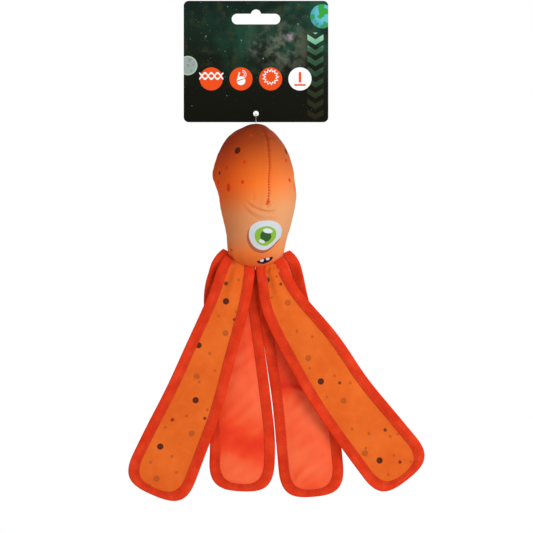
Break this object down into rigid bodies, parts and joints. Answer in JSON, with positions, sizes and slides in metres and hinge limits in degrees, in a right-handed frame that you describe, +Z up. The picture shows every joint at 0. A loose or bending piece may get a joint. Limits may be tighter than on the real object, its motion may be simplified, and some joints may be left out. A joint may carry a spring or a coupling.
{
  "type": "hanging octopus plush toy",
  "caption": "Stuffed octopus head with a squeaker and flat crackle-filled tails sewn in at the chin, hung by a nylon loop under a header card with a hang slot.",
  "frame": {"origin": "where a display hook bears: the centre of the round notch over the card's hang slot", "axes": "+X to the viewer's right, +Y away from the face, +Z up; the toy hangs"},
  "size_m": [0.2922, 0.08, 0.494],
  "materials": {
    "card": "satin",
    "nylon": "clear",
    "head_fabric": "matte",
    "tail_print": "matte",
    "tail_plain": "satin",
    "binding_tape": "matte",
    "red_thread": "matte",
    "orange_thread": "matte",
    "stuffing": "matte",
    "crackle_film": "gloss",
    "squeaker_plastic": "satin",
    "whistle_plastic": "satin"
  },
  "bodies": {
    "card": {"header_card": "card"},
    "loop": {"tag_loop": "nylon", "tag_loop_lock": "nylon"},
    "head": {"head_front_panel": "head_fabric", "head_back_panel": "head_fabric", "head_stuffing": "stuffing", "front_dart_stitching": "red_thread", "back_dart_stitching": "red_thread", "side_seam_stitching": "red_thread", "squeaker_cup": "squeaker_plastic", "squeaker_whistle": "whistle_plastic", "squeaker_reed": "whistle_plastic", "front_left_sewn_end": "tail_print", "front_right_sewn_end": "tail_print", "back_left_sewn_end": "tail_print", "back_right_sewn_end": "tail_print"},
    "front_left_upper": {"front_left_upper_face": "tail_print", "front_left_upper_reverse": "tail_plain", "front_left_upper_film": "crackle_film", "front_left_upper_binding": "binding_tape", "front_left_upper_stitching": "orange_thread"},
    "front_left_lower": {"front_left_lower_face": "tail_print", "front_left_lower_reverse": "tail_plain", "front_left_lower_film": "crackle_film", "front_left_lower_binding": "binding_tape", "front_left_lower_stitching": "orange_thread"},
    "front_right_upper": {"front_right_upper_face": "tail_print", "front_right_upper_reverse": "tail_plain", "front_right_upper_film": "crackle_film", "front_right_upper_binding": "binding_tape", "front_right_upper_stitching": "orange_thread"},
    "front_right_lower": {"front_right_lower_face": "tail_print", "front_right_lower_reverse": "tail_plain", "front_right_lower_film": "crackle_film", "front_right_lower_binding": "binding_tape", "front_right_lower_stitching": "orange_thread"},
    "back_left_upper": {"back_left_upper_face": "tail_print", "back_left_upper_reverse": "tail_plain", "back_left_upper_film": "crackle_film", "back_left_upper_binding": "binding_tape", "back_left_upper_stitching": "orange_thread"},
    "back_left_lower": {"back_left_lower_face": "tail_print", "back_left_lower_reverse": "tail_plain", "back_left_lower_film": "crackle_film", "back_left_lower_binding": "binding_tape", "back_left_lower_stitching": "orange_thread"},
    "back_right_upper": {"back_right_upper_face": "tail_print", "back_right_upper_reverse": "tail_plain", "back_right_upper_film": "crackle_film", "back_right_upper_binding": "binding_tape", "back_right_upper_stitching": "orange_thread"},
    "back_right_lower": {"back_right_lower_face": "tail_print", "back_right_lower_reverse": "tail_plain", "back_right_lower_film": "crackle_film", "back_right_lower_binding": "binding_tape", "back_right_lower_stitching": "orange_thread"},
    "dome": {"squeaker_dome": "squeaker_plastic"}
  },
  "joints": [
    {"name": "loop_turn", "type": "hinge", "parent": "card", "child": "loop", "pos_m": [0, 0, -0.098], "axis": [0, 0, 1], "range_deg": [-30, 30]},
    {"name": "head_swing", "type": "hinge", "parent": "loop", "child": "head", "pos_m": [0, 0, -0.1055], "axis": [1, 0, 0], "range_deg": [-35, 35]},
    {"name": "front_left_flap", "type": "hinge", "parent": "head", "child": "front_left_upper", "pos_m": [-0.0171, -0.0041, -0.252], "axis": [-1, 0, 0], "range_deg": [0, 80]},
    {"name": "front_left_curl", "type": "hinge", "parent": "front_left_upper", "child": "front_left_lower", "pos_m": [-0.0547, -0.0041, -0.362], "axis": [-1, 0, 0], "range_deg": [0, 90]},
    {"name": "front_right_flap", "type": "hinge", "parent": "head", "child": "front_right_upper", "pos_m": [0.0152, -0.0041, -0.252], "axis": [-1, 0, 0], "range_deg": [0, 80]},
    {"name": "front_right_curl", "type": "hinge", "parent": "front_right_upper", "child": "front_right_lower", "pos_m": [0.0767, -0.0041, -0.362], "axis": [-1, 0, 0], "range_deg": [0, 90]},
    {"name": "back_left_flap", "type": "hinge", "parent": "head", "child": "back_left_upper", "pos_m": [-0.0219, 0.0041, -0.252], "axis": [1, 0, 0], "range_deg": [0, 80]},
    {"name": "back_left_curl", "type": "hinge", "parent": "back_left_upper", "child": "back_left_lower", "pos_m": [-0.0179, 0.0041, -0.362], "axis": [1, 0, 0], "range_deg": [0, 90]},
    {"name": "back_right_flap", "type": "hinge", "parent": "head", "child": "back_right_upper", "pos_m": [0.0207, 0.0041, -0.252], "axis": [1, 0, 0], "range_deg": [0, 80]},
    {"name": "back_right_curl", "type": "hinge", "parent": "back_right_upper", "child": "back_right_lower", "pos_m": [0.0434, 0.0041, -0.362], "axis": [1, 0, 0], "range_deg": [0, 90]},
    {"name": "squeaker_press", "type": "slide", "parent": "head", "child": "dome", "axis": [0, 1, 0], "range_m": [0, 0.007], "stiffness_N_per_m": 600}
  ]
}
